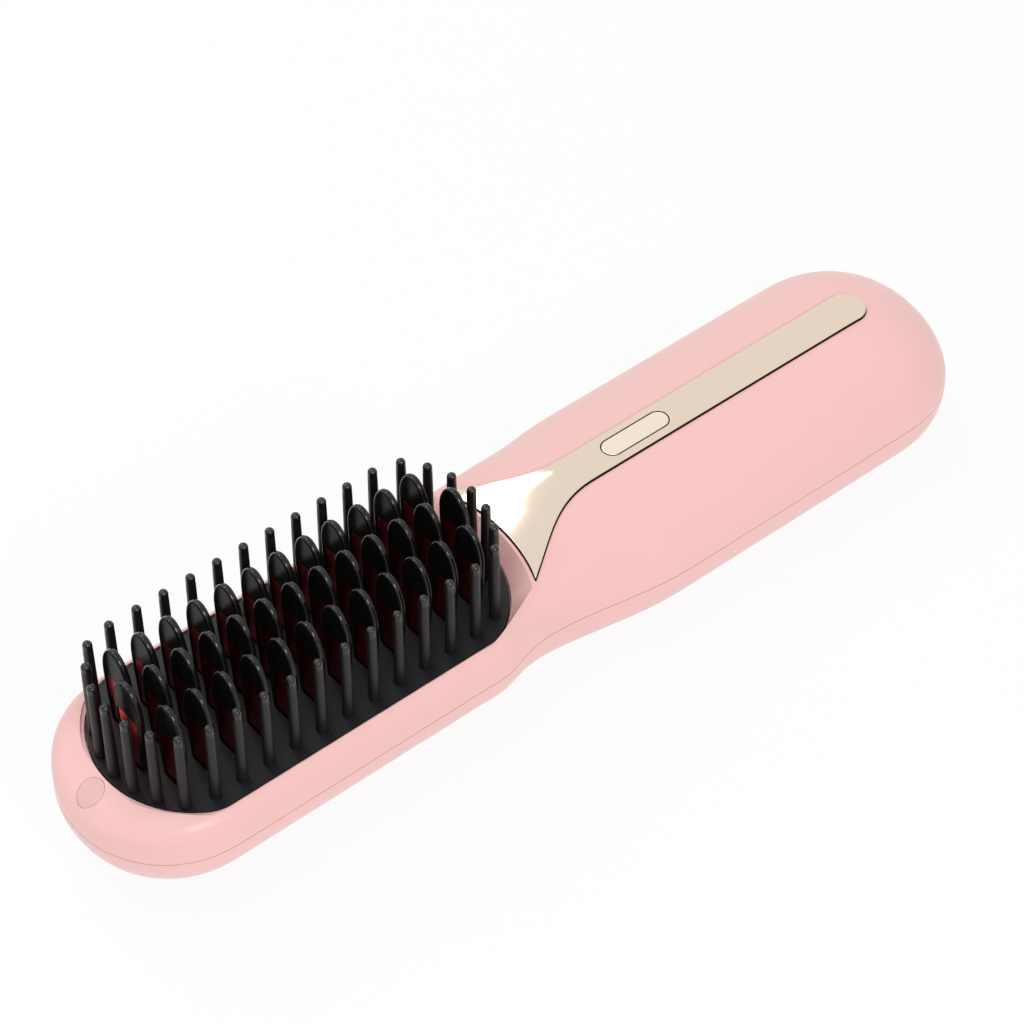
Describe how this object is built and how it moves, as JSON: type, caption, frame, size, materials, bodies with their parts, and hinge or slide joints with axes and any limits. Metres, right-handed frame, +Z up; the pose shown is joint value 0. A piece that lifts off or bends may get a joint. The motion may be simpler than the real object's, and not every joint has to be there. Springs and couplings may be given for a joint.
{
  "type": "hair straightening brush",
  "caption": "Cordless hair straightening brush: oval head of heated fins inside a rim of cool pins, rounded shell handle, gilt strip with a press button, charging socket in the tail.",
  "frame": {"origin": "middle of the object's footprint, on the flat of the back it lies on", "axes": "+X from the nose of the head to the tail of the handle, +Y across, +Z up through the bristles"},
  "size_m": [0.2153, 0.0478, 0.047],
  "materials": {
    "pink_shell": "smooth satin moulding",
    "gold_plate": "champagne-gold plated, mirror bright",
    "black_comb": "fine satin moulding",
    "black_pin": "semi-gloss moulding",
    "red_fin": "deep red anodised",
    "black_cap": "glossy moulding",
    "bare_aluminium": "milled",
    "white_ceramic": "unglazed",
    "mica": "pressed sheet",
    "steel": "plain",
    "dark_resin": "heat-resistant moulding",
    "bead": "glazed bead",
    "cell_wrap": "shrink-wrapped can",
    "nickel": "thin strip",
    "grey_resin": "moulded",
    "board_green": "printed board",
    "lead_white": "silicone jacket",
    "lead_red": "silicone jacket"
  },
  "bodies": {
    "brush": {"top_casing": "pink_shell", "bottom_casing": "pink_shell", "screw_plug": "pink_shell", "top_trim": "gold_plate", "comb_plate": "black_comb", "perimeter_pins": "black_pin", "heating_fins": "red_fin", "fin_caps": "black_cap", "heater_plate": "bare_aluminium", "ceramic_heater": "white_ceramic", "heat_insulator": "mica", "heater_clamp": "steel", "heater_frame": "dark_resin", "clamp_screws": "steel", "thermistor": "bead", "thermal_fuse": "bare_aluminium", "near_cell": "cell_wrap", "far_cell": "cell_wrap", "cell_links": "nickel", "battery_cradle": "grey_resin", "control_board": "board_green", "board_screws": "steel", "switch_body": "dark_resin", "socket_shell": "steel", "socket_tongue": "dark_resin", "charge_board": "board_green", "nose_screw": "steel", "neck_screws": "steel", "heater_leads": "lead_white", "sensor_leads": "lead_white", "battery_leads": "lead_red", "charge_leads": "lead_red"},
    "button": {"power_button": "gold_plate"},
    "plunger": {"switch_plunger": "grey_resin"}
  },
  "joints": [
    {"name": "button_press", "type": "slide", "parent": "brush", "child": "button", "axis": [0, 0, -1], "range_m": [0, 0.0006], "stiffness_N_per_m": 2000},
    {"name": "plunger_press", "type": "slide", "parent": "brush", "child": "plunger", "axis": [0, 0, -1], "range_m": [0, 0.0006]}
  ],
  "couplings": [
    {"joint": "plunger_press", "follows": "button_press", "ratio": 1}
  ]
}
